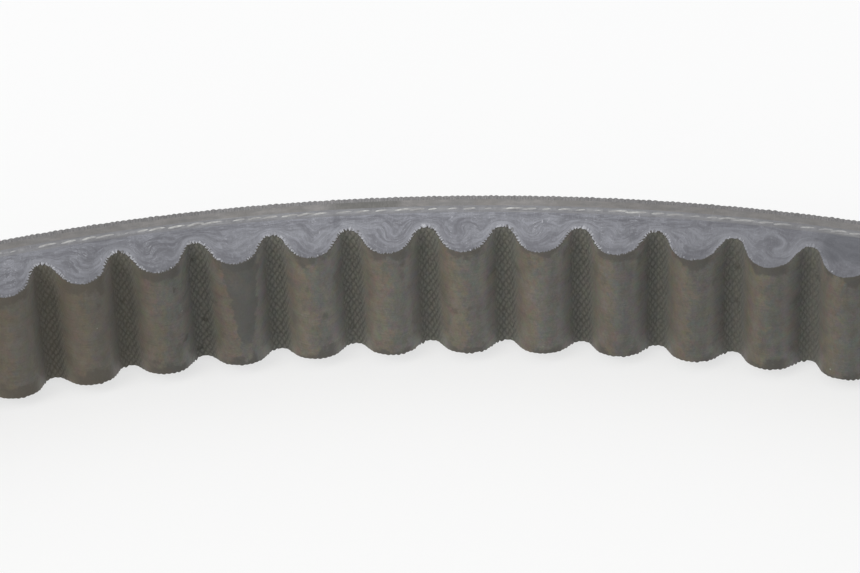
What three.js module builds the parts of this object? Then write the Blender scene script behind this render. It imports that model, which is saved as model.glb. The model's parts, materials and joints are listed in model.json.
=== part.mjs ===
import * as THREE from "three";

// A raw-edge cogged variable-speed V-belt, standing on its edge: an endless loop of six bonded plies,
// from the canvas on the back to the fabric facing on the cogs. Millimetres, +Z along the belt's width,
// the origin at the middle of the loop. The loop is divided at its notches into rigid spans that turn on
// one another at the cord line, the belt's neutral line, with a clearance that opens like a bow tie.

// Loop
const PITCH = 9.0; // one cog and one notch, along the cord line
const COGS = 96;
const OVAL = 0.23; // how much flatter the two long sides are than a circle, as a share of curvature

// Section
const TOP_WIDTH = 18.2; // width of the back
const FLANK_ANGLE = THREE.MathUtils.degToRad(13); // half the included angle of the V
const CORD_DEPTH = 1.87; // from the back to the middle of the cords
const TIP_DEPTH = 8.45; // from the back to a cog's crown
const ROOT_DEPTH = 4.7; // from the back to the bottom of a notch
const TIP_RADIUS = 3.0; // a cog's crown
const ROOT_RADIUS = 1.2; // the bottom of a notch

// Depths between the plies, measured from the back
const CANVAS_DEPTH = 0.45;
const CORD_THICKNESS = 1.0;
const CORD_TOP = CORD_DEPTH - CORD_THICKNESS / 2;
const CORD_BOTTOM = CORD_DEPTH + CORD_THICKNESS / 2;
const ADHESION_BOTTOM = 3.0;
const FACING = 0.45; // thickness of the fabric that follows the cogs

// Clearance at a division
const HALF_GAP = 0.15; // each side, at the cord line
const FLEX_CLEARANCE = Math.tan(THREE.MathUtils.degToRad(10.5)); // widening per mm away from it

const TIP_STEPS = 4; // straight lengths in a crown
const ROOT_STEPS = 2; // straight lengths in a notch bottom

const LOOP_LENGTH = COGS * PITCH;
const MEAN_RADIUS = LOOP_LENGTH / (2 * Math.PI);
const FINE = 24; // integration steps per pitch
const TINY = 1e-3;

// Heading of the cord line at distance s from the middle of the far side, turning clockwise from +X.
function heading(s) {
  return (s - ((OVAL * MEAN_RADIUS) / 2) * Math.sin((2 * s) / MEAN_RADIUS)) / MEAN_RADIUS;
}

// The cord line as points, one every PITCH / FINE, with its middle at the origin.
const line = [new THREE.Vector2(0, 0)];
for (let i = 0; i < COGS * FINE; i += 1) {
  const step = PITCH / FINE;
  const turn = heading((i + 0.5) * step);
  const last = line[line.length - 1];
  line.push(new THREE.Vector2(last.x + step * Math.cos(turn), last.y - step * Math.sin(turn)));
}
const middle = line[(COGS * FINE) / 2].clone().multiplyScalar(0.5);
line.forEach((point) => point.sub(middle));

// The plan position of the point at distance s along the cord line and at a depth below the back.
function place(s, depth) {
  const around = ((s % LOOP_LENGTH) + LOOP_LENGTH) % LOOP_LENGTH;
  const at = (around / PITCH) * FINE;
  const i = Math.min(Math.floor(at), COGS * FINE - 1);
  const on = line[i].clone().lerp(line[i + 1], at - i);
  const turn = heading(around);
  const out = CORD_DEPTH - depth;
  return new THREE.Vector2(on.x + out * Math.sin(turn), on.y + out * Math.cos(turn));
}

// Slope of a cog's side: the straight line that touches the crown's arc and the notch's arc.
const crownCentre = TIP_DEPTH - TIP_RADIUS;
const notchCentre = ROOT_DEPTH + ROOT_RADIUS;
const centres = Math.hypot(PITCH / 2, notchCentre - crownCentre);
const SIDE =
  Math.asin((TIP_RADIUS + ROOT_RADIUS) / centres) - Math.atan2(notchCentre - crownCentre, PITCH / 2);

// The cog outline from one notch centre to the next, at a distance in from the outer face of the facing.
function cogOutline(inset) {
  const points = [];
  const crown = TIP_RADIUS - inset;
  const notch = ROOT_RADIUS + inset;
  const half = ROOT_STEPS / 2;
  for (let i = 0; i <= half; i += 1) {
    const angle = (SIDE * i) / half;
    points.push([notch * Math.sin(angle), notchCentre - notch * Math.cos(angle)]);
  }
  for (let i = 0; i <= TIP_STEPS; i += 1) {
    const angle = SIDE * ((2 * i) / TIP_STEPS - 1);
    points.push([PITCH / 2 + crown * Math.sin(angle), crownCentre + crown * Math.cos(angle)]);
  }
  for (let i = half; i >= 0; i -= 1) {
    const angle = (SIDE * i) / half;
    points.push([PITCH - notch * Math.sin(angle), notchCentre - notch * Math.cos(angle)]);
  }
  return points;
}

// Half the clearance of a division at a depth.
function clearance(depth) {
  return HALF_GAP + FLEX_CLEARANCE * Math.abs(depth - CORD_DEPTH);
}

// A line of [distance, depth] points trimmed at both ends to the divisions at from and to.
function trimmed(points, from, to) {
  const inside = ([s, depth]) => s > from + clearance(depth) && s < to - clearance(depth);
  const kept = points.filter(inside);
  const cut = (out, back, side) => {
    // Halve towards the point where the line meets the division's slanted face.
    let [a, b] = [out, back];
    for (let i = 0; i < 40; i += 1) {
      const between = [(a[0] + b[0]) / 2, (a[1] + b[1]) / 2];
      const gap = clearance(between[1]);
      if (side > 0 ? between[0] < to - gap : between[0] > from + gap) b = between;
      else a = between;
    }
    return b;
  };
  const first = points.indexOf(kept[0]);
  const last = points.indexOf(kept[kept.length - 1]);
  return [
    cut(points[first - 1], points[first], -1),
    ...kept,
    cut(points[last + 1], points[last], 1),
  ];
}

// The boundary at a constant depth, with one point at each notch.
function level(depth, from, to) {
  const points = [];
  for (let s = from; s <= to + TINY; s += PITCH) points.push([s, depth]);
  return trimmed(points, from, to);
}

// The boundary that follows the cogs.
function cogged(inset, from, to) {
  const points = [];
  for (let s = from; s < to - TINY; s += PITCH) {
    const outline = cogOutline(inset).map(([x, depth]) => [s + x, depth]);
    points.push(...(points.length ? outline.slice(1) : outline));
  }
  return trimmed(points, from, to);
}

// The index of the plan point that a vertex stands on.
function nearest(plan, x, y) {
  let best = 0;
  plan.forEach((point, i) => {
    if (Math.hypot(point.x - x, point.y - y) < Math.hypot(plan[best].x - x, plan[best].y - y)) best = i;
  });
  return best;
}

// A ply between two boundaries: its plan extruded over the width, then tapered with depth to the V.
function ply(upper, lower) {
  const outline = [...upper, ...lower.slice().reverse()];
  const plan = outline.map(([s, depth]) => place(s, depth));
  const geometry = new THREE.ExtrudeGeometry(new THREE.Shape(plan), {
    depth: 2,
    bevelEnabled: false,
  });
  const position = geometry.getAttribute("position");
  for (let i = 0; i < position.count; i += 1) {
    const depth = outline[nearest(plan, position.getX(i), position.getY(i))][1];
    const half = TOP_WIDTH / 2 - depth * Math.tan(FLANK_ANGLE);
    position.setZ(i, position.getZ(i) > 1 ? half : -half);
  }
  geometry.computeVertexNormals();
  return geometry;
}

const PLIES = [
  {
    name: "back_canvas",
    colour: 0x86827d,
    roughness: 0.95,
    upper: (from, to) => level(0, from, to),
    lower: (from, to) => level(CANVAS_DEPTH, from, to),
  },
  {
    name: "back_rubber",
    colour: 0x807c79,
    roughness: 0.85,
    upper: (from, to) => level(CANVAS_DEPTH, from, to),
    lower: (from, to) => level(CORD_TOP, from, to),
  },
  {
    name: "tension_cord",
    colour: 0xb9b6ae,
    roughness: 0.8,
    upper: (from, to) => level(CORD_TOP, from, to),
    lower: (from, to) => level(CORD_BOTTOM, from, to),
  },
  {
    name: "adhesion_rubber",
    colour: 0x75757f,
    roughness: 0.8,
    upper: (from, to) => level(CORD_BOTTOM, from, to),
    lower: (from, to) => level(ADHESION_BOTTOM, from, to),
  },
  {
    name: "cog_body",
    colour: 0x82828c,
    roughness: 0.75,
    upper: (from, to) => level(ADHESION_BOTTOM, from, to),
    lower: (from, to) => cogged(FACING, from, to),
  },
  {
    name: "cog_facing",
    colour: 0x5f5a50,
    roughness: 0.95,
    upper: (from, to) => cogged(FACING, from, to),
    lower: (from, to) => cogged(0, from, to),
  },
];

// The spans, clockwise from the middle of the far side, in cogs from there. The loop is opened at the
// middle of the near side, between near_left and near_right.
const SPANS = [
  { name: "far", from: -6, to: 6 },
  { name: "far_right", from: 6, to: 18 },
  { name: "end_right", from: 18, to: 30 },
  { name: "side_right", from: 30, to: 42 },
  { name: "near_right", from: 42, to: 48 },
  { name: "near_left", from: 48, to: 54 },
  { name: "side_left", from: 54, to: 66 },
  { name: "end_left", from: 66, to: 78 },
  { name: "far_left", from: 78, to: 90 },
];

const belt = new THREE.Group();
belt.name = "variable_speed_belt";
for (const span of SPANS) {
  const group = new THREE.Group();
  group.name = "span_" + span.name;
  for (const layer of PLIES) {
    const from = span.from * PITCH;
    const to = span.to * PITCH;
    const mesh = new THREE.Mesh(
      ply(layer.upper(from, to), layer.lower(from, to)),
      new THREE.MeshStandardMaterial({
        color: layer.colour,
        roughness: layer.roughness,
        metalness: 0,
      }),
    );
    mesh.name = layer.name + "_" + span.name;
    group.add(mesh);
  }
  belt.add(group);
}

export default belt;
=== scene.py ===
"""A cogged variable-speed belt, standing on its edge on a pale floor.

The belt is laid out in its own coordinates, in millimetres: s runs along the cord line from the middle of the
far side, clockwise from above; depth runs in from the back; z runs across the width. Every visible piece is
one ply over twelve cogs, centred on a flexing notch.
"""

import json
import math

import bpy
import numpy as np
from mathutils import Matrix, Vector

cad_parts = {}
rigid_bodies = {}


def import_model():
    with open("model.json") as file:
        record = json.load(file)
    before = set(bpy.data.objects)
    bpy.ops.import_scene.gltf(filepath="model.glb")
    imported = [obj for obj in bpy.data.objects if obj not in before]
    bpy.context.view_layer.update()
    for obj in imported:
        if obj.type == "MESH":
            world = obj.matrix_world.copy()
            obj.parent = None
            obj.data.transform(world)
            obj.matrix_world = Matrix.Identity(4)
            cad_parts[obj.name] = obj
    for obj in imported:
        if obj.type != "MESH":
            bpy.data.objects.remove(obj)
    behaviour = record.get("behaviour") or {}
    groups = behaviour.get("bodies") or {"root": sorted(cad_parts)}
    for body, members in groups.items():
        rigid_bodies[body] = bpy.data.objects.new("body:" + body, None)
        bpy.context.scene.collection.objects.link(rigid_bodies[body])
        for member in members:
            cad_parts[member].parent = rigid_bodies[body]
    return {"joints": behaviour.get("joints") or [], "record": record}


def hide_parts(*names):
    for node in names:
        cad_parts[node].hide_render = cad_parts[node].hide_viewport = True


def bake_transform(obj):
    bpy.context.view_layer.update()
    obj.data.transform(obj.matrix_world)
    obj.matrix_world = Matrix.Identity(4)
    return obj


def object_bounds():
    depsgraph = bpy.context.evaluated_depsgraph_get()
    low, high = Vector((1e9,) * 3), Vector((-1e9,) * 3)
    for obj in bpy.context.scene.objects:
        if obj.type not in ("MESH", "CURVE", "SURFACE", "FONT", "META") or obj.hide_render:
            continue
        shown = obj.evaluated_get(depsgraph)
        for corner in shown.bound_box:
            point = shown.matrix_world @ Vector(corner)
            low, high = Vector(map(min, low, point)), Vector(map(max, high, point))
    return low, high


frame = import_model()
cad_low, cad_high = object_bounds()
rng = np.random.default_rng(7)

# --- The belt's dimensions, millimetres ---------------------------------------------------------------

MM = 0.001
PITCH = 9.0  # one cog and one notch, along the cord line
COGS = 96
OVAL = 0.23  # how much flatter the two long sides are than a circle, as a share of curvature
HALF_WIDTH = (cad_high.z - cad_low.z) / MM / 2
FLANK = math.tan(math.radians(13))

# Depths from the back
CANVAS = 0.45
CORD = 1.87
CORD_TOP, CORD_BOTTOM = CORD - 0.5, CORD + 0.5
ADHESION = 3.0
NOTCH, CROWN = 4.7, 8.45

NOTCH_R, CROWN_R = 1.2, 3.0
FACING = 0.45  # thickness of the fabric that follows the cogs
SPAN = 12  # cogs in a piece
PARTING = 0.003  # how far each open end of the loop stands back from the other, so that they never touch

LENGTH = PITCH * COGS
MEAN_R = LENGTH / (2 * math.pi)
NOTCH_C, CROWN_C = NOTCH + NOTCH_R, CROWN - CROWN_R
SIDE = math.asin((CROWN_R + NOTCH_R) / math.hypot(PITCH / 2, NOTCH_C - CROWN_C)) - math.atan2(
    NOTCH_C - CROWN_C, PITCH / 2
)

# Yarns, counted round the whole belt
BACK_YARNS = 1332
FACE_YARNS = 1849
CORD_LAYS = 204  # turns of the cord's two strands round each other
BACK_WEAVE = LENGTH / BACK_YARNS
WEAVE_ACROSS = 1.1  # a lozenge of either weave, across the belt

# How far the facing's yarns stand out of the upper and the lower flank, each one at random, and how that
# changes from one notch to the next
FRAYS = rng.uniform(0.2, 1.0, (2, FACE_YARNS)) * [[0.12], [0.2]]
FRAY_PLACES = 0, 0.15, 0.35, 0.5, 0.65, 0.82, 0.9, 0.96, 1
FRAY_GAINS = 0.6, 0.4, 0.5, 0.8, 1.0, 1.2, 1.8, 1.4, 0.6

# The share of the facing's yarns that show a cut end, from one notch to the next
END_PLACES = 0, 0.14, 0.2, 0.42, 0.6, 0.85, 0.92, 1
END_SHARES = 0.9, 0.9, 0.7, 0.35, 0.15, 0.2, 0.8, 0.9

# Marks of this belt, and stretches of painted light and painted shade, in cogs from the middle of the far
# side
LIT_MIDDLE = -2.3, 2.1  # a stretch painted paler: painted light, brightest in the middle and falling off to both ends
RUBBED = 3.3, 9.0  # fringe, weave, wisps and cords rubbed smooth
DARK_BACK = -1.2, -0.36  # a darker length of the rubber over the cords
SCORE = -1.2, -1.1  # a thin line across the flank
DULL = 5.0, 8.2  # a dull patch on the flank
TARRED = -3.35, -2.75  # dark spots in and beside one notch
WIDER_SHADE = -4.5, -1.5  # wider painted shade under the crown edges, fading from the first place to the second
TONGUE = -2.455  # the middle of a grey stain that runs down one cog

# --- The belt's own coordinates -----------------------------------------------------------------------


def heading(s):
    """The cord line's heading at s, turning clockwise from +X."""
    return (s - OVAL * MEAN_R / 2 * np.sin(2 * s / MEAN_R)) / MEAN_R


# The cord line as points, one every PITCH / FINE, with its middle at the origin
FINE = 48
stations = np.arange(COGS * FINE + 1) * PITCH / FINE
turns = heading((stations[1:] + stations[:-1]) / 2)
line_x = np.concatenate([[0], np.cumsum(np.cos(turns))]) * PITCH / FINE
line_y = -np.concatenate([[0], np.cumsum(np.sin(turns))]) * PITCH / FINE
line_x -= line_x[COGS * FINE // 2] / 2
line_y -= line_y[COGS * FINE // 2] / 2


def place(s, depth, z):
    """Points in metres, from millimetres along, into and across the belt."""
    around = np.mod(np.clip(s, PARTING - LENGTH / 2, LENGTH / 2 - PARTING), LENGTH)
    turn = heading(around)
    x = np.interp(around, stations, line_x) + (CORD - depth) * np.sin(turn)
    y = np.interp(around, stations, line_y) + (CORD - depth) * np.cos(turn)
    return np.stack(np.broadcast_arrays(x, y, z), -1) * MM


def half_width(depth):
    """From the belt's middle to its flank."""
    return HALF_WIDTH - depth * FLANK


def cog_profile(inset, notch_steps, side_steps, crown_steps):
    """x from a notch's centre and depth, over one cog, without the last point; the same points' distance
    along the facing's outer face, and the length of that face over the whole cog."""

    def arcs(crown, notch):
        turn = np.linspace(0, SIDE, notch_steps + 1)
        bottom = np.stack([notch * np.sin(turn), NOTCH_C - notch * np.cos(turn)], 1)
        turn = np.linspace(-SIDE, SIDE, crown_steps + 1)
        top = np.stack([PITCH / 2 + crown * np.sin(turn), CROWN_C + crown * np.cos(turn)], 1)
        share = np.linspace(0, 1, side_steps + 1)[1:-1, None]
        straight = bottom[-1] * (1 - share) + top[0] * share
        rise = np.concatenate([bottom, straight, top[: crown_steps // 2]])
        fall = rise[1:][::-1] * [-1, 1] + [PITCH, 0]
        return np.concatenate([rise, top[crown_steps // 2 : crown_steps // 2 + 1], fall])

    points = arcs(CROWN_R - inset, NOTCH_R + inset)
    outer = np.concatenate([arcs(CROWN_R, NOTCH_R), [[PITCH, NOTCH]]])
    along = np.concatenate([[0], np.cumsum(np.linalg.norm(np.diff(outer, axis=0), axis=1))])
    return points[:, 0], points[:, 1], along[:-1], along[-1]


FACE_STEPS = (14, 10, 84)  # straight lengths in half a notch bottom, a cog's side and its crown
FACE_PITCH = cog_profile(0.0, *FACE_STEPS)[3]
FACE_WEAVE = FACE_PITCH * COGS / FACE_YARNS  # a lozenge of the facing's weave, along its face


def along_cogs(first, inset, *steps):
    """s, depth and distance along the face, from notch first to notch first + SPAN, with one ghost
    point beyond each end."""
    x, depth, along, total = cog_profile(inset, *steps)
    n = len(x)
    index = np.arange(-1, n * SPAN + 2)
    cog, at = index // n, index % n
    return (first + cog) * PITCH + x[at], depth[at], (first + cog + along[at] / total) * FACE_PITCH


def along_line(first, step):
    """s at even steps from notch first to notch first + SPAN, with a ghost point beyond each end."""
    n = int(round(SPAN * PITCH / step))
    return first * PITCH + np.arange(-1, n + 2) * (SPAN * PITCH / n)


# --- Meshes ------------------------------------------------------------------------------------------


def side(s, depth, z, q=0.0, t=0.0):
    """One side of a ply: points along the belt by points round its section, corner to corner. q is the
    distance along the cogs' face and t the share of the way from the cords to the cogs."""
    s, depth, z, q, t = np.broadcast_arrays(s, depth, z, q, t)
    points = place(s, depth, z)
    normal = np.cross(np.gradient(points, axis=1), np.gradient(points, axis=0))
    normal /= np.maximum(np.linalg.norm(normal, axis=-1, keepdims=True), 1e-12)
    values = {
        "co": points,
        "normal": normal,
        "ring": np.stack([MEAN_R * np.cos(s / MEAN_R), MEAN_R * np.sin(s / MEAN_R), z], -1),
        "belt": np.stack([s / PITCH, depth, z], -1),
        "face": np.stack([q, t, z], -1),
    }
    return {key: value[1:-1] for key, value in values.items()}


def solid(sides):
    """A closed body from its sides, in order round the section."""
    count = len(sides[0]["co"])
    size = sum(part["co"].shape[1] - 1 for part in sides)
    made = {}
    for key in ("co", "ring", "belt", "face"):
        made[key] = np.concatenate([part[key][:, :-1] for part in sides], 1).reshape(-1, 3)
    corners, normals = [], []
    start = 0
    i = np.arange(count - 1)[:, None]
    for part in sides:
        j = np.arange(part["co"].shape[1] - 1)[None]
        a, b = start + j, (start + j + 1) % size
        quad = [i * size + a, i * size + b, (i + 1) * size + b, (i + 1) * size + a]
        corners.append(np.stack(np.broadcast_arrays(*quad), -1).reshape(-1, 4))
        n = part["normal"]
        normals.append(np.stack([n[:-1, :-1], n[:-1, 1:], n[1:, 1:], n[1:, :-1]], 2).reshape(-1, 4, 3))
        start += part["co"].shape[1] - 1
    made["faces"] = np.concatenate(corners)
    made["face_normals"] = np.concatenate(normals)
    made["caps"] = [np.arange(size)[::-1], (count - 1) * size + np.arange(size)]
    return made


def mesh_of(name, solids, material):
    """One object from closed bodies, with smooth normals that match those of the next piece."""
    loops, normals, starts = [], [], []
    base = at = 0
    for body in solids:
        faces = body["faces"]
        loops.append((faces + base).reshape(-1))
        normals.append(body["face_normals"].reshape(-1, 3))
        starts.append(at + np.arange(len(faces)) * faces.shape[1])
        at += faces.size
        for cap in body.get("caps", []):
            outline = body["co"][cap]
            flat = np.cross(outline, np.roll(outline, -1, 0)).sum(0)
            loops.append(cap + base)
            normals.append(np.tile(flat / np.linalg.norm(flat), (len(cap), 1)))
            starts.append([at])
            at += len(cap)
        base += len(body["co"])
    co = np.concatenate([body["co"] for body in solids])
    loops, starts = np.concatenate(loops), np.concatenate(starts)
    mesh = bpy.data.meshes.new(name)
    mesh.vertices.add(len(co))
    mesh.vertices.foreach_set("co", co.astype(np.float32).ravel())
    mesh.loops.add(len(loops))
    mesh.loops.foreach_set("vertex_index", loops.astype(np.int32))
    mesh.polygons.add(len(starts))
    mesh.polygons.foreach_set("loop_start", starts.astype(np.int32))
    mesh.update(calc_edges=True)
    mesh.polygons.foreach_set("use_smooth", np.ones(len(starts), bool))
    for key in ("ring", "belt", "face"):
        values = np.concatenate([body[key] for body in solids]).astype(np.float32)
        mesh.attributes.new(key, "FLOAT_VECTOR", "POINT").data.foreach_set("vector", values.ravel())
    mesh.normals_split_custom_set(np.concatenate(normals).astype(np.float32))
    mesh.materials.append(material)
    made = bpy.data.objects.new(name, mesh)
    bpy.context.scene.collection.objects.link(made)
    return made


# --- Materials ---------------------------------------------------------------------------------------


def tone(red, green, blue):
    """A linear colour from 0-255 display values."""
    scaled = [v / 255 for v in (red, green, blue)]
    return tuple(v / 12.92 if v <= 0.04045 else ((v + 0.055) / 1.055) ** 2.4 for v in scaled) + (1.0,)


class Shader:
    """A node material, written as calls. A value is a number, a colour or another node's output."""

    def __init__(self, name):
        self.material = bpy.data.materials.new(name)
        self.material.use_nodes = True
        self.tree = self.material.node_tree
        self.bsdf = self.tree.nodes["Principled BSDF"]

    def put(self, socket, value):
        if isinstance(value, bpy.types.NodeSocket):
            self.tree.links.new(value, socket)
        else:
            socket.default_value = value

    def node(self, kind, settings=None, **inputs):
        made = self.tree.nodes.new(kind)
        for key, value in (settings or {}).items():
            setattr(made, key, value)
        for key, value in inputs.items():
            self.put(made.inputs[key.replace("_", " ")], value)
        return made

    def math(self, operation, a, b=0.0, c=0.0, clamp=False):
        made = self.node("ShaderNodeMath", {"operation": operation, "use_clamp": clamp})
        for socket, value in zip(made.inputs, (a, b, c), strict=True):
            self.put(socket, value)
        return made.outputs[0]

    def add(self, a, b):
        return self.math("ADD", a, b)

    def mul(self, a, b):
        return self.math("MULTIPLY", a, b)

    def step(self, value, low, high, out_low=0.0, out_high=1.0):
        """out_low up to low, out_high from high, and a smooth change between."""
        made = self.node("ShaderNodeMapRange", {"interpolation_type": "SMOOTHSTEP"})
        for socket, given in zip(made.inputs, (value, low, high, out_low, out_high), strict=False):
            self.put(socket, given)
        return made.outputs[0]

    def attribute(self, name):
        made = self.node("ShaderNodeAttribute", {"attribute_name": name})
        return made.outputs["Vector"]

    def split(self, vector):
        return self.node("ShaderNodeSeparateXYZ", Vector=vector).outputs

    def vector(self, x, y, z):
        return self.node("ShaderNodeCombineXYZ", X=x, Y=y, Z=z).outputs[0]

    def scaled(self, vector, factors):
        made = self.node("ShaderNodeVectorMath", {"operation": "MULTIPLY"})
        self.put(made.inputs[0], vector)
        self.put(made.inputs[1], factors)
        return made.outputs[0]

    def moved(self, vector, offset):
        made = self.node("ShaderNodeVectorMath", {"operation": "ADD"})
        self.put(made.inputs[0], vector)
        self.put(made.inputs[1], offset)
        return made.outputs[0]

    def noise(self, vector, scale=1.0, detail=3.0, roughness=0.55, colour=False):
        made = self.node("ShaderNodeTexNoise", Vector=vector, Scale=scale, Detail=detail, Roughness=roughness)
        return made.outputs["Color" if colour else "Fac"]

    def cells(self, vector, scale):
        return self.node("ShaderNodeTexVoronoi", Vector=vector, Scale=scale).outputs

    def mix(self, share, a, b, blend="MIX"):
        made = self.node("ShaderNodeMix", {"data_type": "RGBA", "blend_type": blend})
        self.put(made.inputs[0], share)
        self.put(made.inputs[6], a)
        self.put(made.inputs[7], b)
        return made.outputs[2]

    def bump(self, height, metres):
        return self.node("ShaderNodeBump", Height=height, Distance=metres, Strength=1.0).outputs[0]

    def finish(self, colour, roughness, normal=None, specular=0.3, sheen=0.0):
        self.put(self.bsdf.inputs["Base Color"], colour)
        self.put(self.bsdf.inputs["Roughness"], roughness)
        self.bsdf.inputs["Specular IOR Level"].default_value = specular
        if sheen:
            self.bsdf.inputs["Sheen Weight"].default_value = sheen
            self.bsdf.inputs["Sheen Roughness"].default_value = 0.5
        if normal is not None:
            self.put(self.bsdf.inputs["Normal"], normal)
        return self.material


def weave_height(m, along, across, along_period, across_period):
    """Lozenges of a bias weave: 1 on a yarn's crown, 0 in the gaps between yarns."""
    u = m.mul(along, 1 / along_period)
    v = m.mul(across, 1 / across_period)
    first = m.math("ABSOLUTE", m.math("SINE", m.mul(m.add(u, v), math.pi)))
    second = m.math("ABSOLUTE", m.math("SINE", m.mul(m.math("SUBTRACT", u, v), math.pi)))
    return m.mul(m.math("MULTIPLY_ADD", first, 0.86, 0.14), second)


def upward(m):
    """1 on the ground flanks, 0 on the back and the cogs' faces."""
    normal = m.node("ShaderNodeNewGeometry").outputs["True Normal"]
    return m.math("GREATER_THAN", m.math("ABSOLUTE", m.split(normal)[2]), 0.6)


def patch(m, value, low, high, soft):
    """1 where a value lies between two limits, with soft edges."""
    rise = m.step(value, low - soft, low + soft)
    fall = m.step(value, high - soft, high + soft, 1.0, 0.0)
    return m.mul(rise, fall)


def phase_of(m, at):
    """0 and 1 at a notch, 0.5 at a crown."""
    return m.math("FRACT", m.add(at, 100.0))


def wandering(m, ring, scale, detail, reach, roughness=0.55):
    """Noise between -reach and reach, to make a border wander."""
    return m.math("MULTIPLY_ADD", m.noise(ring, scale, detail, roughness), 2 * reach, -reach)


def painted_light_and_pale_patches(m, colour, ring, at):
    """The colour, painted paler over the middle stretch of the belt as painted light that falls off towards
    both ends, and paler in broad patches further out.
    """
    # Painted light: the middle stretch is paler than the rest of the belt.
    middle = patch(m, m.add(at, wandering(m, ring, 0.1, 2, 1.2)), *LIT_MIDDLE, 0.8)
    beyond = m.mul(m.step(m.math("ABSOLUTE", at), 6.0, 9.0), m.step(m.noise(ring, 0.035, 2), 0.46, 0.6))
    gain = m.math("MULTIPLY_ADD", m.math("MAXIMUM", middle, beyond), 0.16, 0.92)
    return m.scaled(colour, m.vector(gain, gain, gain))


def rubbed(m, at, least):
    """1, falling to least over the stretch that is rubbed smooth."""
    return m.math("MULTIPLY_ADD", patch(m, at, *RUBBED, 1.3), least - 1.0, 1.0)


def back_material():
    """Rubberised canvas: woven on the back, ground on the flank."""
    m = Shader("back_canvas")
    ring = m.attribute("ring")
    x, y, z = m.split(ring)
    at = m.split(m.attribute("belt"))[0]
    weave = weave_height(m, m.mul(at, PITCH), z, BACK_WEAVE, WEAVE_ACROSS)
    cloud = m.noise(ring, 0.12, 4)
    grain = m.noise(ring, 5.0, 3)
    woven = m.mix(m.mul(weave, 0.8), tone(46, 45, 43), tone(98, 96, 91))
    woven = m.mix(m.step(cloud, 0.35, 0.7, 0.0, 0.8), woven, tone(66, 62, 56))
    scuff = m.noise(m.vector(m.mul(x, 0.06), m.mul(y, 0.06), m.mul(z, 1.6)), 1.0, 5, 0.7)
    raised = m.step(weave, 0.2, 0.9, 0.25, 1.0)
    woven = m.mix(m.mul(m.step(scuff, 0.5, 0.7, 0.0, 0.55), raised), woven, tone(124, 121, 115))
    edge = m.math("MULTIPLY_ADD", cloud, 1.6, m.math("ABSOLUTE", z))
    woven = m.mix(m.mul(m.step(edge, 9.2, 10.0, 0.0, 0.5), raised), woven, tone(132, 130, 126))
    ground = m.mix(m.step(grain, 0.3, 0.7), tone(114, 113, 113), tone(134, 132, 132))
    ground = m.mix(m.step(m.noise(ring, 1.9, 2), 0.5, 0.7, 0.0, 0.3), ground, tone(94, 92, 90))
    # Painted light: paler over the middle stretch, falling off to both ends.
    colour = painted_light_and_pale_patches(m, m.mix(upward(m), woven, ground), ring, at)
    height = m.add(weave, m.mul(grain, 0.25))
    roughness = m.step(cloud, 0.2, 0.8, 0.62, 0.85)
    return m.finish(colour, roughness, m.bump(height, 0.00012), sheen=0.1)


def over_cord_material():
    """The grey-brown rubber over the cords, ground smooth on the flank."""
    m = Shader("back_rubber")
    ring = m.attribute("ring")
    x, y, _ = m.split(ring)
    at, depth, _ = m.split(m.attribute("belt"))
    streak = m.noise(m.vector(m.mul(x, 0.6), m.mul(y, 0.6), m.mul(depth, 1.6)), 1.0, 4, 0.6)
    grain = m.noise(ring, 6.0, 3, 0.7)
    colour = m.mix(m.step(streak, 0.3, 0.7), tone(117, 116, 115), tone(136, 133, 131))
    colour = m.mix(m.step(m.noise(ring, 0.22, 3), 0.4, 0.65, 0.0, 0.45), colour, tone(115, 112, 108))
    colour = m.mix(m.step(grain, 0.55, 0.8, 0.0, 0.45), colour, tone(150, 149, 148))
    colour = m.mix(m.step(grain, 0.2, 0.45, 0.4, 0.0), colour, tone(95, 94, 93))
    dark = patch(m, m.add(at, wandering(m, ring, 0.7, 3, 0.2)), *DARK_BACK, 0.08)
    dark = m.mul(dark, m.step(grain, 0.2, 0.7, 0.75, 0.45))
    # Painted light: paler over the middle stretch, falling off to both ends.
    colour = painted_light_and_pale_patches(m, m.mix(dark, colour, tone(88, 88, 84)), ring, at)
    return m.finish(colour, m.step(grain, 0.2, 0.8, 0.5, 0.75), m.bump(grain, 0.00003))


def curled_share(m, ring, offset, depth, share):
    """The share of the way from the cords to the cogs that the rubber had before it flowed: level over the
    notches and wound up inside each cog. offset is the distance from the cog's middle, along the belt."""
    turning = m.noise(m.scaled(ring, (1.0, 1.0, 0.0)), 0.11, 1)
    spin = m.math("MULTIPLY_ADD", turning, 14.0, -7.0)
    drop = m.math("SUBTRACT", depth, 5.1)
    near = m.add(m.mul(offset, offset), m.mul(m.mul(drop, drop), 1.3))
    spin = m.mul(spin, m.math("EXPONENT", m.mul(near, -0.28)))
    turned = m.math("SUBTRACT", m.mul(m.math("COSINE", spin), drop), m.mul(m.math("SINE", spin), offset))
    above = m.mul(m.math("MINIMUM", m.math("SUBTRACT", depth, ADHESION), 0.0), 0.4)
    return m.add(m.add(share, above), m.mul(m.math("SUBTRACT", turned, drop), 0.24))


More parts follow.
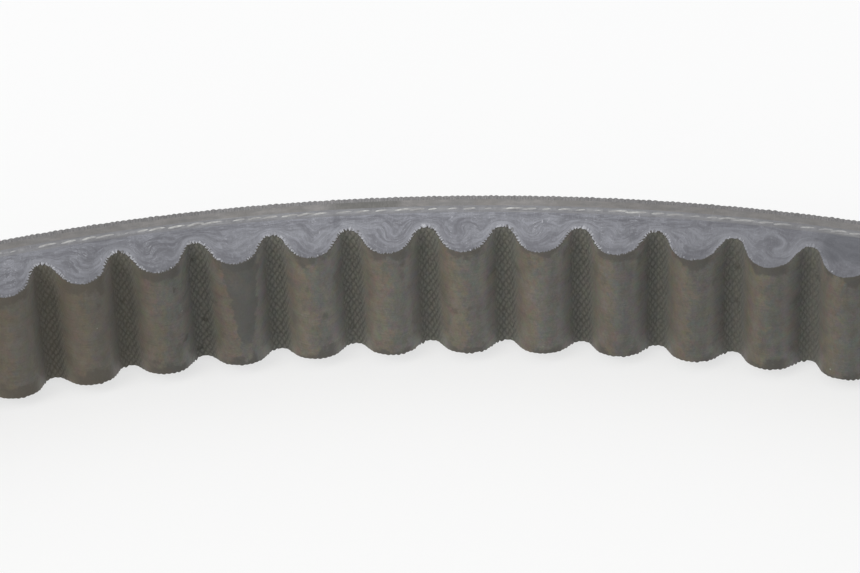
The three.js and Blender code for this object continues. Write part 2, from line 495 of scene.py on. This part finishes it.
def wisps(m, ring, at, depth, carried):
    """Fibre-loaded rubber, drawn out as it flowed into broad bands, fine bands, threads and single hairs.
    Returns its colour and the fine bands."""
    x, y, _ = m.split(ring)
    warp = m.noise(m.vector(x, y, depth), 0.3, 3, colour=True)
    warp = m.scaled(m.moved(warp, (-0.5, -0.5, -0.5)), (3.0, 3.0, 1.9))
    flow = m.moved(m.vector(m.mul(x, 0.3), m.mul(y, 0.3), m.mul(carried, 5.0)), warp)
    broad = m.noise(flow, 0.6, 3, 0.6)
    fine = m.noise(flow, 2.0, 6, 0.74)
    hair = m.step(m.math("ABSOLUTE", m.math("SUBTRACT", fine, 0.53)), 0.0, 0.03, 1.0, 0.0)
    hair = m.mul(hair, m.step(broad, 0.42, 0.66))
    drawn = m.vector(m.mul(x, 0.55), m.mul(y, 0.55), m.mul(carried, 9.0))
    thread = m.noise(m.moved(drawn, m.scaled(warp, (0.8, 0.8, 0.7))), 1.15, 3, 0.58)
    wisp = m.step(m.math("ABSOLUTE", m.math("SUBTRACT", thread, 0.52)), 0.0, 0.022, 1.0, 0.0)
    wisp = m.mul(wisp, m.step(m.noise(ring, 0.8, 3), 0.46, 0.62))
    fresh = rubbed(m, at, 0.45)
    colour = m.mix(m.step(broad, 0.3, 0.68), tone(104, 104, 109), tone(124, 125, 130))
    colour = m.mix(m.step(fine, 0.46, 0.72, 0.0, 0.5), colour, tone(147, 148, 155))
    colour = m.mix(m.mul(hair, m.mul(fresh, 0.4)), colour, tone(168, 169, 176))
    colour = m.mix(m.mul(m.step(thread, 0.5, 0.68, 0.0, 0.5), fresh), colour, tone(146, 147, 154))
    colour = m.mix(m.mul(m.step(thread, 0.34, 0.48, 0.35, 0.0), fresh), colour, tone(96, 96, 102))
    return m.mix(m.mul(wisp, m.mul(fresh, 0.6)), colour, tone(182, 183, 189)), fine


def flank_marks(m, colour, ring, at, depth):
    """The score across the flank and the dull patch."""
    line = m.mul(patch(m, at, *SCORE, 0.035), patch(m, depth, 1.5, 4.2, 0.5))
    colour = m.mix(m.mul(line, 0.45), colour, tone(82, 82, 88))
    wander = wandering(m, ring, 0.4, 3, 0.5)
    dull = m.mul(patch(m, m.add(at, wander), *DULL, 0.3), patch(m, m.add(depth, wander), 1.5, 6.4, 0.7))
    return m.mix(m.mul(dull, 0.62), colour, tone(84, 85, 90))


def flank_rubber(m, ring, at, depth, share):
    """The ground flank of the fibre-loaded rubber: its wisps, paler over the notches and darker at the
    crowns, with grinding grain and cut fibre ends. Returns its colour, its relief and its grain."""
    offset = m.mul(m.math("SUBTRACT", phase_of(m, at), 0.5), PITCH)
    colour, fine = wisps(m, ring, at, depth, curled_share(m, ring, offset, depth, share))
    over_notch = m.mul(m.step(m.math("ABSOLUTE", offset), 1.4, 3.4), m.step(share, 0.3, 1.0, 0.0, 0.36))
    colour = m.mix(over_notch, colour, tone(160, 161, 167))
    colour = m.mix(m.step(depth, 6.0, 8.4, 0.0, 0.45), colour, tone(96, 96, 101))
    grain = m.noise(ring, 6.0, 3, 0.7)
    colour = m.mix(m.step(grain, 0.52, 0.85, 0.0, 0.4), colour, tone(165, 166, 172))
    colour = m.mix(m.step(grain, 0.15, 0.48, 0.4, 0.0), colour, tone(80, 80, 87))
    fibre = m.cells(ring, 1.3)
    chosen = m.math("GREATER_THAN", m.split(fibre["Color"])[0], 0.82)
    fleck = m.mul(m.step(fibre["Distance"], 0.05, 0.12, 1.0, 0.0), chosen)
    colour = m.mix(m.mul(fleck, 0.6), colour, tone(196, 196, 202))
    # Painted light: paler over the middle stretch, falling off to both ends.
    colour = painted_light_and_pale_patches(m, flank_marks(m, colour, ring, at, depth), ring, at)
    return colour, m.add(m.mul(grain, 0.6), m.mul(fine, 0.6)), grain


def frayed(m, colour, ring, q, rim, at):
    """Cut yarns along the edge of the facing: pale strokes with dark wedges of fabric between them. q runs
    along the facing and rim is the distance in from its outer face."""
    phase, fresh = phase_of(m, at), rubbed(m, at, 0.2)
    jumbled = m.add(q, wandering(m, ring, 1.0, 2, 1.0))
    tooth = m.math("ABSOLUTE", m.math("SINE", m.mul(jumbled, math.pi / 0.42)))
    uneven = m.noise(ring, 1.3, 3, 0.6)
    other = m.noise(m.moved(ring, (31.0, 7.0, 0.0)), 1.6, 3, 0.6)
    # The fringe is painted by which wall of the cog faces the key light: on the wall that faces it, a thin
    # unbroken pale line, a painted highlight; on the wall that faces away, faint pale strokes and more dark
    # wedges, painted shade.
    shaded_wall = patch(m, phase, 0.56, 0.9, 0.08)
    crown = patch(m, phase, 0.34, 0.62, 0.06)
    lit_wall = patch(m, phase, 0.06, 0.42, 0.04)

    short = m.add(m.add(m.mul(crown, 0.45), m.mul(shaded_wall, 0.3)), m.mul(lit_wall, 0.3))
    reach = m.mul(m.step(other, 0.35, 0.62, 0.35, 0.8), m.math("SUBTRACT", 1.0, short))
    pale = m.mul(m.step(tooth, 0.45, 0.85), m.step(m.math("SUBTRACT", rim, reach), -0.22, 0.06, 1.0, 0.0))
    faint = m.add(m.add(m.mul(crown, 0.56), m.mul(shaded_wall, 0.62)), m.mul(lit_wall, 0.3))
    pale = m.mul(m.mul(pale, fresh), m.math("SUBTRACT", 0.8, faint, clamp=True))
    colour = m.mix(m.mul(pale, m.step(uneven, 0.3, 0.6, 0.35, 1.0)), colour, tone(203, 204, 208))

    wedge = m.math("POWER", m.math("SUBTRACT", 1.0, tooth), 0.8)
    wedge = m.mul(wedge, m.step(uneven, 0.35, 0.65, 0.2, 0.6))
    # Painted highlight: few dark wedges on the wall that faces the light, so its pale line runs unbroken.
    wedge = m.mul(wedge, m.math("MULTIPLY_ADD", lit_wall, -0.6, 1.0))
    fewer = m.math("SUBTRACT", 1.0, m.add(m.mul(crown, 0.4), m.mul(shaded_wall, 0.25)))
    wedge = m.mul(wedge, m.mul(fresh, fewer))
    # Painted shade: more dark wedges on the wall that faces away from the light.
    wedge = m.add(m.add(wedge, m.mul(shaded_wall, 0.1)), m.math("MULTIPLY_ADD", other, 0.3, -0.12))
    dark = m.step(m.math("SUBTRACT", wedge, rim), -0.05, 0.05)
    return m.mix(dark, colour, tone(73, 70, 64))


def cord_streaks(m, colour):
    """Beside the cords: greyer, in long streaks, with pale smears."""
    ring = m.attribute("ring")
    x, y, _ = m.split(ring)
    depth = m.split(m.attribute("belt"))[1]
    long = m.noise(m.vector(m.mul(x, 0.16), m.mul(y, 0.16), m.mul(depth, 5.0)), 1.0, 4, 0.6)
    colour = m.mix(0.5, colour, tone(122, 121, 121))
    colour = m.mix(m.step(long, 0.52, 0.7, 0.0, 0.4), colour, tone(156, 155, 153))
    beside = m.step(m.math("ABSOLUTE", m.math("SUBTRACT", depth, 1.85)), 0.0, 0.5, 1.0, 0.0)
    smear = m.mul(beside, m.step(m.noise(ring, 0.9, 4, 0.65), 0.38, 0.66, 0.0, 0.45))
    return m.mix(smear, colour, tone(164, 164, 164))


def fringe(m, colour):
    """The facing's cut yarns, where they lie over the edge of the cogs' rubber."""
    at, depth, _ = m.split(m.attribute("belt"))
    q, share, _ = m.split(m.attribute("face"))
    below = m.math("DIVIDE", m.math("SUBTRACT", 1.0, share), m.math("MAXIMUM", share, 0.05))
    rim = m.math("MULTIPLY_ADD", below, m.math("SUBTRACT", depth, ADHESION), FACING)
    return frayed(m, colour, m.attribute("ring"), q, rim, at)


def rubber_material(name, over=None):
    """Fibre-loaded rubber, with what a ply has over it."""
    m = Shader(name)
    at, depth, _ = m.split(m.attribute("belt"))
    share = m.split(m.attribute("face"))[1]
    colour, height, grain = flank_rubber(m, m.attribute("ring"), at, depth, share)
    if over:
        colour = over(m, colour)
    return m.finish(colour, m.step(grain, 0.2, 0.8, 0.45, 0.7), m.bump(height, 0.00004), specular=0.35)


def facing_dust(m, ring, at, blotch):
    """Dust across a cog: olive from the notch, brown up to the crown and grey beyond it, with ragged
    borders and a paler strip on the far wall."""
    x, y, z = m.split(ring)
    phase = phase_of(m, at)
    broad = m.noise(m.vector(m.mul(x, 0.9), m.mul(y, 0.9), m.mul(z, 0.16)), 0.45, 4, 0.6)
    moved = m.add(phase, m.math("MULTIPLY_ADD", broad, 0.3, -0.15))
    brown = m.mix(m.step(blotch, 0.35, 0.65), tone(98, 91, 79), tone(104, 95, 84))
    olive = m.mix(m.step(broad, 0.35, 0.65), tone(100, 97, 86), tone(106, 102, 92))
    grey = m.mix(m.step(broad, 0.35, 0.65), tone(88, 87, 82), tone(95, 94, 89))
    colour = m.mix(m.step(moved, 0.12, 0.28), olive, brown)
    colour = m.mix(m.step(blotch, 0.52, 0.62, 0.0, 0.7), colour, olive)
    ragged = wandering(m, ring, 0.55, 5, 0.4, 0.7)
    colour = m.mix(m.step(m.add(moved, ragged), 0.39, 0.53), colour, grey)
    return m.mix(patch(m, phase, 0.71, 0.88, 0.06), colour, tone(107, 105, 100))


def brushed(m, colour, ring, at, grain):
    """Mixed hues, mottling, fine strokes along the belt and grain."""
    x, y, z = m.split(ring)
    tint = m.noise(m.scaled(ring, (1.0, 1.0, 0.8)), 1.1, 4, 0.7, colour=True)
    colour = m.mix(0.38, colour, tint, "OVERLAY")
    mottle = m.noise(m.vector(m.mul(x, 0.8), m.mul(y, 0.8), m.mul(z, 0.5)), 0.9, 5, 0.7)
    colour = m.mix(m.step(mottle, 0.3, 0.5, 0.6, 0.0), colour, tone(80, 77, 69))
    colour = m.mix(m.step(mottle, 0.5, 0.72, 0.0, 0.45), colour, tone(113, 107, 97))
    brush = m.noise(m.vector(m.mul(x, 0.5), m.mul(y, 0.5), m.mul(z, 4.5)), 1.0, 4, 0.7)
    # The dark strokes are stronger over the left end, where the painted shade under the crowns is widest, and
    # fade out by cog -1.
    strokes = m.step(at, WIDER_SHADE[0], -1.0, 0.38, 0.28)
    colour = m.mix(m.step(brush, 0.3, 0.5, strokes, 0.0), colour, tone(72, 68, 60))
    colour = m.mix(m.step(brush, 0.52, 0.75, 0.0, 0.25), colour, tone(120, 115, 106))
    colour = m.mix(m.step(grain, 0.25, 0.5, 0.3, 0.0), colour, tone(62, 59, 52))
    return m.mix(m.step(grain, 0.52, 0.8, 0.0, 0.3), colour, tone(128, 123, 114))


def edge_shade(m, colour, at, depth, z, blotch):
    """Painted shade on the crowns along both edges, dark and in blotches."""
    # Painted shade that reaches further in at the left end.
    wider_shade = m.step(at, *WIDER_SHADE, 0.9, 0.0)
    reach = m.add(m.math("ABSOLUTE", z), m.add(m.math("MULTIPLY_ADD", blotch, 6.4, -3.2), wider_shade))
    # The dark band is painted shade under the edges of the crowns.
    stain = m.mul(m.step(reach, 6.15, 6.9, 0.0, 0.75), m.step(depth, 6.9, 8.0))
    return m.mix(stain, colour, tone(72, 69, 64))


def tongue(m, colour, ring, at, z):
    """The grey stain that narrows as it runs down one cog."""
    down = m.math("MULTIPLY_ADD", z, -0.095, 0.62, clamp=True)
    wander = wandering(m, ring, 0.7, 4, 0.12, 0.65)
    middle = m.math("MULTIPLY_ADD", down, -0.03, -TONGUE)
    from_middle = m.math("ABSOLUTE", m.add(middle, m.add(at, wander)))
    inside = m.math("SUBTRACT", m.math("MULTIPLY_ADD", down, -0.16, 0.25), from_middle)
    above_tip = m.step(m.add(z, m.mul(wander, 8.0)), -4.6, -4.0)
    stain = m.mul(m.step(inside, -0.01, 0.02), above_tip)
    return m.mix(m.mul(stain, 0.62), colour, tone(72, 72, 69))


def spots(m, colour, ring, at):
    """Dark blots, more of them where the belt is tarred, pale specks of dust, and a dusty left end."""
    cells = m.cells(m.moved(ring, (3.0, 0.0, 5.0)), 0.42)
    tarred = patch(m, at, *TARRED, 0.1)
    blot = m.math("MULTIPLY_ADD", m.noise(ring, 2.2, 3, 0.65), 0.5, cells["Distance"])
    rare = m.math("MULTIPLY_ADD", tarred, -0.5, 0.75)
    chosen = m.math("GREATER_THAN", m.split(cells["Color"])[0], rare)
    blot = m.mul(m.step(blot, 0.36, 0.46, 1.0, 0.0), chosen)
    colour = m.mix(m.mul(blot, m.math("MULTIPLY_ADD", tarred, 0.25, 0.35)), colour, tone(60, 57, 50))
    cells = m.cells(ring, 1.1)
    chosen = m.math("GREATER_THAN", m.split(cells["Color"])[1], 0.988)
    speck = m.mul(m.step(cells["Distance"], 0.06, 0.15, 1.0, 0.0), chosen)
    colour = m.mix(m.mul(speck, 0.45), colour, tone(190, 190, 186))
    dusty = m.mul(m.step(at, -4.4, -3.2, 0.3, 0.0), m.step(at, -9.0, -7.0))
    return m.mix(dusty, colour, tone(92, 82, 66))


def facing_material():
    """Bias-woven fabric pressed into the cogs: open weave in the notches, smoothed by wear on the crowns. On
    the flanks only its cut edge shows, under the rubber that the grinding smeared over it."""
    m = Shader("cog_facing")
    ring = m.attribute("ring")
    at, depth, z = m.split(m.attribute("belt"))
    q, across, _ = m.split(m.attribute("face"))
    blotch = m.noise(ring, 0.3, 4, 0.65)
    grain = m.noise(ring, 5.5, 3, 0.7)
    colour = brushed(m, facing_dust(m, ring, at, blotch), ring, at, grain)

    skew = m.math("SUBTRACT", m.math("FRACT", m.add(phase_of(m, at), 0.5)), 0.5)
    notch = m.step(m.math("MULTIPLY_ADD", skew, -3.0, depth), 4.85, 6.2, 1.0, 0.0)
    sway = m.split(m.noise(ring, 0.8, 2, colour=True))
    swayed_q = m.add(q, m.math("MULTIPLY_ADD", sway[0], 0.5, -0.25))
    swayed_z = m.add(z, m.math("MULTIPLY_ADD", sway[1], 0.6, -0.3))
    weave = weave_height(m, swayed_q, swayed_z, FACE_WEAVE, WEAVE_ACROSS)
    colour = m.mix(m.mul(notch, 0.6), colour, tone(107, 107, 100))
    uneven = m.step(m.noise(ring, 2.2, 3, 0.6), 0.32, 0.62, 0.45, 1.0)
    gaps = m.mul(m.mul(m.step(weave, 0.05, 0.95, 1.0, 0.0), uneven), rubbed(m, at, 0.55))
    colour = m.mix(m.mul(gaps, m.math("MULTIPLY_ADD", notch, 0.46, 0.06)), colour, tone(48, 49, 44))

    # Painted shade along both edges of the crowns.
    colour = edge_shade(m, colour, at, depth, z, blotch)
    colour = spots(m, tongue(m, colour, ring, at, z), ring, at)
    # Painted light: paler over the middle stretch, falling off to both ends.
    colour = painted_light_and_pale_patches(m, colour, ring, at)

    cut, _, _ = flank_rubber(m, ring, at, depth, 1.0)
    cut = frayed(m, cut, ring, q, m.math("MULTIPLY_ADD", across, -FACING, FACING), at)
    colour = m.mix(upward(m), colour, cut)
    height = m.add(m.mul(weave, m.math("MULTIPLY_ADD", notch, 0.9, 0.1)), m.mul(grain, 0.25))
    roughness = m.step(notch, 0.0, 1.0, 0.56, 0.85)
    return m.finish(colour, roughness, m.bump(height, 0.00008), specular=0.28, sheen=0.08)


def cord_material():
    """Pale twisted yarn, smeared here and there with ground rubber and mostly covered where it is rubbed."""
    m = Shader("cord_strand")
    ring = m.attribute("ring")
    at = m.split(m.attribute("belt"))[0]
    smear = m.noise(ring, 0.45, 3, 0.65)
    fibre = m.noise(m.scaled(ring, (2.0, 2.0, 9.0)), 1.0, 3)
    colour = m.mix(m.step(fibre, 0.3, 0.7), tone(164, 164, 162), tone(204, 204, 201))
    colour = m.mix(m.step(smear, 0.4, 0.62, 0.1, 0.85), colour, tone(148, 147, 147))
    covered = m.math("SUBTRACT", 1.0, rubbed(m, at, 0.25))
    covered = m.mul(covered, m.step(m.noise(ring, 0.9, 4, 0.7), 0.36, 0.58, 1.0, 0.25))
    colour = m.mix(covered, colour, tone(134, 134, 135))
    return m.finish(colour, 0.7, m.bump(fibre, 0.00004))


def thread_material():
    """Cut ends of the facing's yarns: some clean and pale, some dirty."""
    m = Shader("thread_end")
    ring = m.attribute("ring")
    dirt = m.noise(ring, 1.1, 2)
    colour = m.mix(m.step(dirt, 0.42, 0.62), tone(172, 173, 178), tone(118, 117, 117))
    return m.finish(colour, 0.8, m.bump(dirt, 0.00003), specular=0.25)


# --- Plies -------------------------------------------------------------------------------------------


def rows(low, high, count):
    """Even values for the points round a section."""
    return np.linspace(low, high, count)[None]


def slab(s, top, bottom):
    """A ply between two depths, both even along the belt."""
    s = s[:, None]
    depths = rows(top, bottom, 3)
    back = side(s, top, rows(-1, 1, 3) * half_width(top))
    upper = side(s, depths, half_width(depths))
    front = side(s, bottom, rows(1, -1, 3) * half_width(bottom))
    lower = side(s, depths[:, ::-1], -half_width(depths[:, ::-1]))
    return solid([back, upper, front, lower])


def canvas(first):
    """The back's canvas: its edges are serrated by the yarns that the grinding cut through."""
    out, up = 0.11, 0.1  # how far a cut yarn stands out of the back and of the flank
    s = along_line(first, 0.12)[:, None]
    around = 2 * np.pi * s / LENGTH
    phase = np.pi * s / BACK_WEAVE + 0.5 * np.sin(197 * around) * np.sin(61 * around)
    uneven = 0.75 + 0.25 * np.sin(311 * around) * np.sin(67 * around + 1)
    tooth = np.abs(np.sin(phase)) * uneven
    share = np.array([[-1, -0.997, -0.99, -0.97, -0.9, -0.5, 0, 0.5, 0.9, 0.97, 0.99, 0.997, 1]])
    near_edge = np.clip((np.abs(share) - 0.985) / 0.015, 0, 1)
    corner = np.abs(share) == 1
    back = side(s, -out * tooth * near_edge, share * (HALF_WIDTH + up * tooth * corner))
    fade = rows(1, 0, 4)
    depths = rows(0, CANVAS, 4) - out * tooth * fade**2
    reach = half_width(np.clip(depths, 0, None)) + up * tooth * fade
    upper = side(s, depths, reach)
    front = side(s, CANVAS, rows(1, -1, 2) * half_width(CANVAS))
    lower = side(s, depths[:, ::-1], -reach[:, ::-1])
    return solid([back, upper, front, lower])


def cog_rubber(first):
    """The compression rubber down to the facing."""
    s, depth, q = along_cogs(first, FACING, 4, 3, 16)
    s, depth, q = s[:, None], depth[:, None], q[:, None]
    t = rows(0, 1, 9)
    depths = ADHESION + t * (depth - ADHESION)
    back = side(s, ADHESION, rows(-1, 1, 2) * half_width(ADHESION))
    upper = side(s, depths, half_width(depths), q, t)
    front = side(s, depth, rows(1, -1, 2) * half_width(depth), q, 1.0)
    lower = side(s, depths[:, ::-1], -half_width(depths[:, ::-1]), q, t[:, ::-1])
    return solid([back, upper, front, lower])


def facing(first):
    """The fabric that follows the cogs, with a ragged cut edge on both flanks."""
    outer_s, outer_depth, q = along_cogs(first, 0.0, *FACE_STEPS)
    inner_s, inner_depth, _ = along_cogs(first, FACING, *FACE_STEPS)
    outer_s, outer_depth = outer_s[:, None], outer_depth[:, None]
    inner_s, inner_depth, q = inner_s[:, None], inner_depth[:, None], q[:, None]
    crossing = q / FACE_WEAVE
    index = np.floor(crossing).astype(int) % FACE_YARNS
    hump = np.sin(np.pi * (crossing % 1)) ** 0.8
    hump = hump * np.interp(outer_s / PITCH % 1, FRAY_PLACES, FRAY_GAINS)
    t = rows(0, 1, 4)
    s, depth = inner_s * (1 - t) + outer_s * t, inner_depth * (1 - t) + outer_depth * t
    above, under = [half_width(depth) + fray[index] * hump * t**2 for fray in FRAYS]
    back = side(inner_s, inner_depth, rows(-1, 1, 2) * half_width(inner_depth), q)
    upper = side(s, depth, above, q, t)
    share = np.array([[1, 0.995, 0.98, 0.94, 0.8, 0.6, 0.4, 0.2, 0]])
    z = np.concatenate([share * above[:, -1:], -share[:, -2::-1] * under[:, -1:]], 1)
    front = side(outer_s, outer_depth, z, q, 1.0)
    lower = side(s[:, ::-1], depth[:, ::-1], -under[:, ::-1], q, t[:, ::-1])
    return solid([back, upper, front, lower])


def strands(first, flank):
    """The outermost turn of the cord: two strands laid round each other, half sunk in the flank."""
    s = along_line(first, 0.3)[:, None]
    turn = np.linspace(0, 2 * np.pi, 8)[None]
    around = 2 * np.pi * s / LENGTH
    sunk = 0.2 + 0.05 * np.sin(41 * around) * np.sin(27 * around + 1) + 0.045 * np.sin(143 * around)
    uneven = 0.5 * np.sin(53 * around) + 0.3 * np.sin(131 * around)
    made = []
    for strand in range(2):
        lay = CORD_LAYS * around + strand * np.pi + uneven
        depth = CORD - 0.07 + 0.09 * np.cos(lay)
        rise = half_width(depth) - sunk + 0.14 * np.sin(lay)
        radius = 0.155 + 0.025 * np.sin(173 * around + strand) * np.sin(109 * around)
        made.append(solid([side(s, depth - radius * np.sin(turn), flank * rise - radius * np.cos(turn))]))
    return made


def pentagon(turn, z):
    """Five corners of an icosahedron, at a height."""
    angles = (np.arange(5) + turn) * 2 * math.pi / 5
    return [(math.cos(angle) * 0.894, math.sin(angle) * 0.894, z) for angle in angles]


ICO = np.array([(0, 0, 1), *pentagon(0, 0.447), *pentagon(0.5, -0.447), (0, 0, -1)])
ICO_FACES = np.array(
    [(0, 1 + k, 1 + (k + 1) % 5) for k in range(5)]
    + [(1 + k, 6 + k, 1 + (k + 1) % 5) for k in range(5)]
    + [(6 + k, 6 + (k + 1) % 5, 1 + (k + 1) % 5) for k in range(5)]
    + [(11, 6 + (k + 1) % 5, 6 + k) for k in range(5)]
)


def thread_ends(first):
    """The cut ends of the facing's yarns, along both flanks: short rods that lie across the facing."""
    s, depth, q = along_cogs(first, FACING * 0.6, *FACE_STEPS)
    wanted = np.arange(q[1] + 0.2, q[-2] - 0.1, FACE_WEAVE * 0.75)
    wanted = np.sort(wanted + rng.uniform(-0.28, 0.28, len(wanted)))
    cogs = np.interp(wanted, q, s) / PITCH
    thinned = RUBBED[0] - 0.7, RUBBED[0] + 0.5, RUBBED[1] - 0.5, RUBBED[1] + 0.5
    shown = np.interp(cogs % 1, END_PLACES, END_SHARES) * np.interp(cogs, thinned, (1, 0.2, 0.2, 1))
    made = []
    for flank in (1, -1):
        at = wanted[rng.random(len(wanted)) < shown]
        here, deep = np.interp(at, q, s), np.interp(at, q, depth)
        slope = np.arctan2(np.interp(at + 0.1, q, depth) - deep, np.interp(at + 0.1, q, s) - here)
        lean = (slope + rng.normal(0, 0.3, len(at)))[:, None]
        over_notch = deep < 5.6
        size = rng.uniform(0.08, 0.15, len(at)) * np.where(over_notch, 1.1, 0.8)
        length = size * rng.uniform(1.1, 2.2, len(at)) * np.where(over_notch, 1.0, 0.7)
        rod = ICO[None] * np.stack([size, length, size * 0.8], -1)[:, None]
        points_s = here[:, None] + rod[..., 0] * np.cos(lean) - rod[..., 1] * np.sin(lean)
        points_d = deep[:, None] + rod[..., 0] * np.sin(lean) + rod[..., 1] * np.cos(lean)
        points_z = flank * (half_width(points_d) + 0.03 + rod[..., 2])
        co = place(points_s, points_d, points_z)
        normal = co - place(here, deep, flank * half_width(deep))[:, None]
        normal /= np.linalg.norm(normal, axis=-1, keepdims=True)
        faces = (ICO_FACES[:, ::-flank] + len(ICO) * np.arange(len(at))[:, None, None]).reshape(-1, 3)
        ring = [MEAN_R * np.cos(points_s / MEAN_R), MEAN_R * np.sin(points_s / MEAN_R), points_z]
        ring = np.stack(ring, -1).reshape(-1, 3)
        body = {"co": co.reshape(-1, 3), "ring": ring, "belt": ring, "face": ring, "faces": faces}
        body["face_normals"] = normal.reshape(-1, 3)[faces]
        made.append(body)
    return made


MATERIALS = {
    "back_canvas": back_material(),
    "back_rubber": over_cord_material(),
    "tension_cord": rubber_material("tension_cord", cord_streaks),
    "adhesion_rubber": rubber_material("adhesion_rubber"),
    "cog_body": rubber_material("cog_body", fringe),
    "cog_facing": facing_material(),
}
CORD_YARN = cord_material()
THREAD = thread_material()

# Each hinge, and the notch where its piece starts. Clockwise from the middle of the far side, a piece runs
# from the parent to the child on the right, and from the child to the parent on the left.
PIECES = [
    ("right_1", 0),
    ("right_2", 12),
    ("right_3", 24),
    ("right_4", 36),
    ("left_4", -48),
    ("left_3", -36),
    ("left_2", -24),
    ("left_1", -12),
]
joints = {joint["name"]: joint for joint in frame["joints"]}
nodes_of = frame["record"]["behaviour"]["bodies"]


def plies(first):
    """The closed bodies of each ply, over one piece."""
    s = along_line(first, 0.5)
    return {
        "back_canvas": canvas(first),
        "back_rubber": slab(s, CANVAS, CORD_TOP),
        "tension_cord": slab(s, CORD_TOP, CORD_BOTTOM),
        "adhesion_rubber": slab(s, CORD_BOTTOM, ADHESION),
        "cog_body": cog_rubber(first),
        "cog_facing": facing(first),
    }


for where, first in PIECES:
    joint = joints["flex_" + where]
    before, after = joint["parent"], joint["child"]
    if where.startswith("left"):
        before, after = after, before
    made = []
    for ply, body in plies(first).items():
        piece = mesh_of(f"{ply}_{where}", [body], MATERIALS[ply])
        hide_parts(*[node for node in nodes_of[before] + nodes_of[after] if node.startswith(ply)])
        made.append(piece)
    cords = strands(first, 1) + strands(first, -1)
    made.append(mesh_of(f"cord_strands_{where}", cords, CORD_YARN))
    made.append(mesh_of(f"thread_ends_{where}", thread_ends(first), THREAD))
    start, end = place(np.array([first + 0.5, first + SPAN - 0.5]) * PITCH, CORD, 0.0)
    for piece in made:
        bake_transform(piece)

# --- Floor, light and camera -------------------------------------------------------------------------


def floor_material():
    """A pale floor that gives off most of its own light, so that it stays even, and paler to the back."""
    m = Shader("floor")
    back = m.split(m.node("ShaderNodeNewGeometry").outputs["Position"])[1]
    pale = m.mix(m.step(back, -0.15, 0.5), (0.88, 0.88, 0.87, 1), (0.93, 0.93, 0.93, 1))
    m.put(m.bsdf.inputs["Emission Color"], pale)
    m.bsdf.inputs["Emission Strength"].default_value = 0.72
    return m.finish((0.3, 0.3, 0.3, 1), 0.8, specular=0.1)


FLOOR = 12.0  # metres from the middle to an edge
mesh = bpy.data.meshes.new("floor")
corners = [(-FLOOR, -FLOOR), (FLOOR, -FLOOR), (FLOOR, FLOOR), (-FLOOR, FLOOR)]
mesh.from_pydata([(x, y, cad_low.z) for x, y in corners], [], [(0, 1, 2, 3)])
mesh.materials.append(floor_material())
floor = bpy.data.objects.new("floor", mesh)
bpy.context.scene.collection.objects.link(floor)

world = bpy.data.worlds.new("studio")
world.use_nodes = True
sky = world.node_tree.nodes["Background"]
sky.inputs["Color"].default_value = (0.97, 0.98, 1.0, 1)
sky.inputs["Strength"].default_value = 0.88
bpy.context.scene.world = world


def disk_light(name, stands, aim, size, watts, colour):
    light = bpy.data.lights.new(name, "AREA")
    light.shape = "DISK"
    light.size = size
    light.energy = watts
    light.color = colour
    made = bpy.data.objects.new(name, light)
    made.location = stands
    made.rotation_euler = (Vector(aim) - Vector(stands)).to_track_quat("-Z", "Y").to_euler()
    bpy.context.scene.collection.objects.link(made)


disk_light("key", stands=(-0.9, -0.7, 1), aim=(0, 0.05, 0), size=0.9, watts=8.5, colour=(1, 0.98, 0.95))

# The camera looks over the near side of the loop at the inside of the far side.
LENS, SENSOR = 168.36, 36.0  # millimetres
TURN = math.radians(1.785438)  # left of +Y
DIP = math.radians(36.201283)  # below level
ROLL = math.radians(-2.3926)
eye = Vector((11.915, -252.487, 275.164)) * MM
ahead = Vector((-math.sin(TURN), math.cos(TURN), 0))
forward = ahead * math.cos(DIP) - Vector((0, 0, math.sin(DIP)))
level = forward.cross(Vector((0, 0, 1))).normalized()
upright = level.cross(forward)
right = level * math.cos(ROLL) + upright * math.sin(ROLL)
up = upright * math.cos(ROLL) - level * math.sin(ROLL)
camera_data = bpy.data.cameras.new("camera")
camera_data.lens = LENS
camera_data.sensor_width = SENSOR
camera_data.clip_start, camera_data.clip_end = 0.01, 50
camera = bpy.data.objects.new("camera", camera_data)
camera.matrix_world = Matrix(
    (
        (right.x, up.x, -forward.x, eye.x),
        (right.y, up.y, -forward.y, eye.y),
        (right.z, up.z, -forward.z, eye.z),
        (0, 0, 0, 1),
    )
)
bpy.context.scene.collection.objects.link(camera)
bpy.context.scene.camera = camera
bpy.context.scene.view_settings.view_transform = "Standard"
